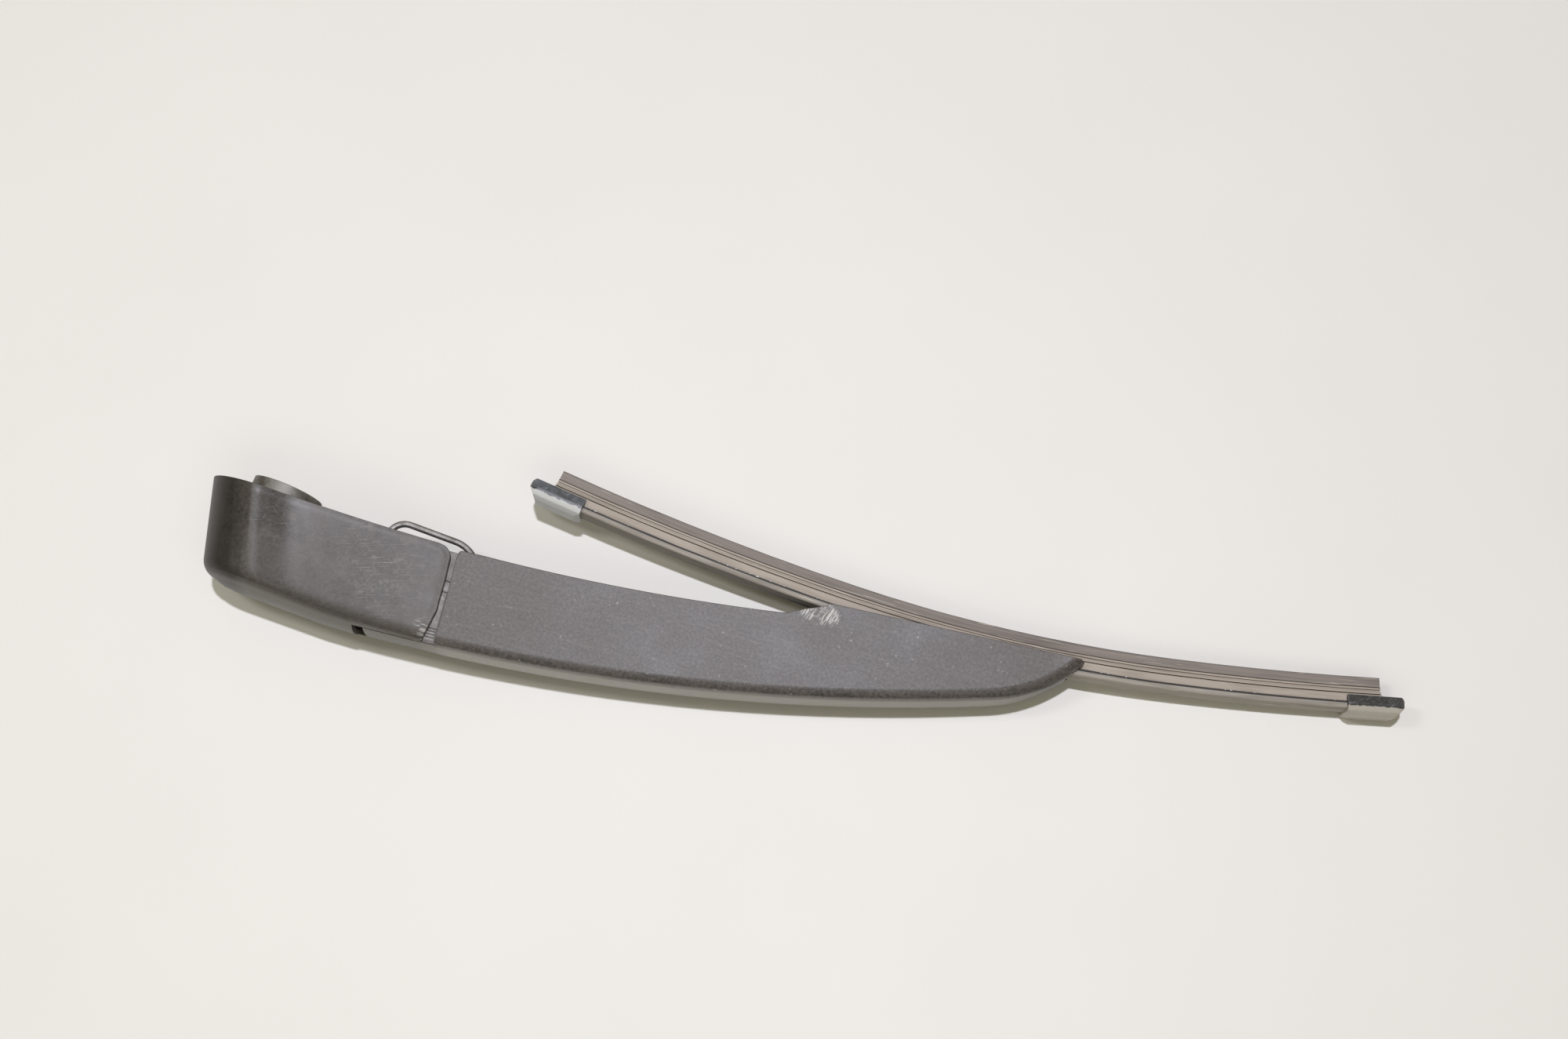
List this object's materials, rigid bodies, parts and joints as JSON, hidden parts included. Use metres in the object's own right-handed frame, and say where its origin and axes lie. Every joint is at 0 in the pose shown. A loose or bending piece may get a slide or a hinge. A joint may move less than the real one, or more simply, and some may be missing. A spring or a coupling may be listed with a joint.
{
  "type": "rear window wiper",
  "caption": "Rear window wiper: spindle head under a flip-up cover, sprung channel arm and a bowed flat blade with a rubber lip on a pivot.",
  "frame": {"origin": "centre of the spindle bore at the boss's mouth, on the side of the car", "axes": "+X along the wiper towards the blade's free end, +Y along the spindle axis towards the car and its glass, +Z across the arm"},
  "size_m": [0.4313, 0.1245, 0.0434],
  "materials": {
    "cover_plastic": "smooth matte black, worn soft",
    "arm_plastic": "fine-grained matte black",
    "cast_alloy": "dull grey die casting",
    "bush_steel": "turned",
    "pin_steel": "ground",
    "bush_bronze": "dull sintered",
    "spring_wire": "dull grey drawn wire",
    "wiper_rubber": "aged grey-brown rubber",
    "rail_steel": "dark spring strip",
    "spoiler_rubber": "worn matte grey",
    "bracket_steel": "dull zinc",
    "adapter_plastic": "moulded black",
    "cap_plastic": "worn slate grey"
  },
  "bodies": {
    "head": {"mounting_head": "cast_alloy", "spindle_bush": "bush_steel", "hinge_pin": "pin_steel", "anchor_pin": "pin_steel"},
    "cover": {"head_cover": "cover_plastic"},
    "arm": {"arm_shell": "arm_plastic", "ear_bush_upper": "bush_bronze", "ear_bush_lower": "bush_bronze", "spring_pin": "pin_steel", "blade_carrier": "adapter_plastic", "blade_pin": "pin_steel"},
    "hook": {"spring_hook": "spring_wire"},
    "spring": {"tension_spring": "spring_wire"},
    "blade": {"wiper_rubber": "wiper_rubber", "rail_upper": "rail_steel", "rail_lower": "rail_steel", "spoiler_inner": "spoiler_rubber", "spoiler_outer": "spoiler_rubber", "blade_bracket": "bracket_steel", "blade_adapter": "adapter_plastic", "end_cap_inner": "cap_plastic", "end_cap_outer": "cap_plastic"}
  },
  "joints": [
    {"name": "arm_lift", "type": "hinge", "parent": "head", "child": "arm", "pos_m": [0.0553, -0.0255, 0], "axis": [0, 0, -1], "range_deg": [0, 60], "stiffness_Nm_per_rad": 0.5, "springref_deg": -126.05},
    {"name": "cover_flip", "type": "hinge", "parent": "head", "child": "cover", "pos_m": [0.0553, -0.0255, 0], "axis": [0, 0, 1], "range_deg": [0, 30]},
    {"name": "hook_swing", "type": "hinge", "parent": "head", "child": "hook", "pos_m": [0.045, -0.008, 0], "axis": [0, 0, -1], "range_deg": [0, 52]},
    {"name": "spring_swing", "type": "hinge", "parent": "arm", "child": "spring", "pos_m": [0.15, -0.005, 0], "axis": [0, 0, 1], "range_deg": [0, 8.1]},
    {"name": "blade_pivot", "type": "hinge", "parent": "arm", "child": "blade", "pos_m": [0.24959, 0.03075, 0], "axis": [0, 0, 1], "range_deg": [-1.5, 9]}
  ],
  "couplings": [
    {"joint": "hook_swing", "follows": "arm_lift", "ratio": 0.866},
    {"joint": "spring_swing", "follows": "arm_lift", "ratio": 0.134}
  ]
}
